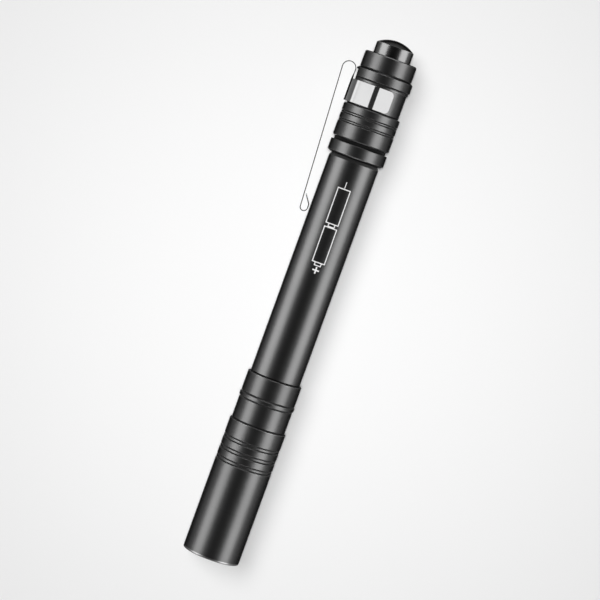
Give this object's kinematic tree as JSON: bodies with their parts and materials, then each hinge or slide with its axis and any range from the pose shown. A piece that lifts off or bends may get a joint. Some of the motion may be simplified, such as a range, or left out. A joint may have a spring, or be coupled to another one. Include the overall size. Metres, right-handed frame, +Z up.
{
  "type": "flashlight",
  "caption": "Slim pen-type flashlight: turned head with lens, tube for its cells, screw-off tail cap with a push button, and a sprung steel pocket clip.",
  "frame": {"origin": "centre of the bounding box at the surface that the light lies on", "axes": "+X along the beam, from tail to lens; +Z up; the clip is towards -Y"},
  "size_m": [0.1336, 0.0178, 0.0142],
  "materials": {
    "anodised_black": "satin",
    "button_black": "satin",
    "polished_steel": "polished",
    "spring_steel": "satin",
    "rubber_black": "matte",
    "lens_glass": "gloss",
    "reflector_bright": "polished",
    "plastic_white": "matte",
    "plastic_black": "matte",
    "led_ceramic": "satin",
    "led_phosphor": "gloss",
    "led_board_white": "satin",
    "aluminium_plain": "satin",
    "lead_black": "satin",
    "lead_red": "satin",
    "board_green": "satin",
    "chip_black": "matte",
    "inductor_grey": "matte",
    "brass": "satin",
    "cell_jacket": "satin",
    "nickel": "satin",
    "fibre": "matte"
  },
  "bodies": {
    "barrel": {"battery_tube": "anodised_black", "front_cell_can": "cell_jacket", "front_cell_washer": "fibre", "front_cell_cap": "nickel", "rear_cell_can": "cell_jacket", "rear_cell_washer": "fibre", "rear_cell_cap": "nickel"},
    "head_ring": {"head_seal": "rubber_black"},
    "head": {"head_shell": "anodised_black", "lens_seal": "rubber_black", "lens": "lens_glass", "reflector": "reflector_bright", "led_gasket": "plastic_white", "led_package": "led_ceramic", "led_dome": "led_phosphor", "led_board": "led_board_white", "led_pill": "aluminium_plain", "led_lead_negative": "lead_black", "led_lead_positive": "lead_red", "driver_board": "board_green", "driver_chip": "chip_black", "driver_inductor": "inductor_grey", "positive_contact": "brass"},
    "tail_ring": {"tail_seal": "rubber_black"},
    "cap": {"tail_cap": "anodised_black", "retaining_ring": "brass", "switch_board": "board_green", "tail_spring": "spring_steel", "switch_housing": "plastic_black", "switch_contact": "brass", "switch_spring": "spring_steel", "button_seal": "rubber_black"},
    "push_button": {"button": "button_black", "switch_plunger": "plastic_white"},
    "clip": {"clip_collar": "polished_steel", "clip_root": "polished_steel"},
    "arm": {"clip_arm": "polished_steel"}
  },
  "joints": [
    {"name": "head_travel", "type": "slide", "parent": "barrel", "child": "head_ring", "axis": [1, 0, 0], "range_m": [0, 0.005]},
    {"name": "head_turn", "type": "hinge", "parent": "head_ring", "child": "head", "pos_m": [0.05, 0.00179, 0.00711], "axis": [1, 0, 0], "range_deg": [0, 1800]},
    {"name": "cap_travel", "type": "slide", "parent": "barrel", "child": "tail_ring", "axis": [-1, 0, 0], "range_m": [0, 0.005]},
    {"name": "cap_turn", "type": "hinge", "parent": "tail_ring", "child": "cap", "pos_m": [-0.05, 0.00179, 0.00711], "axis": [-1, 0, 0], "range_deg": [0, 1800]},
    {"name": "button_press", "type": "slide", "parent": "cap", "child": "push_button", "axis": [1, 0, 0], "range_m": [0, 0.0018], "stiffness_N_per_m": 400, "springref_m": -0.004, "deforming": ["switch_spring"]},
    {"name": "clip_swivel", "type": "hinge", "parent": "cap", "child": "clip", "pos_m": [-0.052, 0.00179, 0.00711], "axis": [1, 0, 0], "continuous": true},
    {"name": "clip_flex", "type": "hinge", "parent": "clip", "child": "arm", "pos_m": [-0.05658, -0.00874, 0.00711], "axis": [0, 0, -1], "range_deg": [0, 6], "stiffness_Nm_per_rad": 0.08, "springref_deg": -2.86}
  ],
  "couplings": [
    {"joint": "head_travel", "follows": "head_turn", "m_per_rad": 0.00015915},
    {"joint": "cap_travel", "follows": "cap_turn", "m_per_rad": 0.00015915}
  ]
}
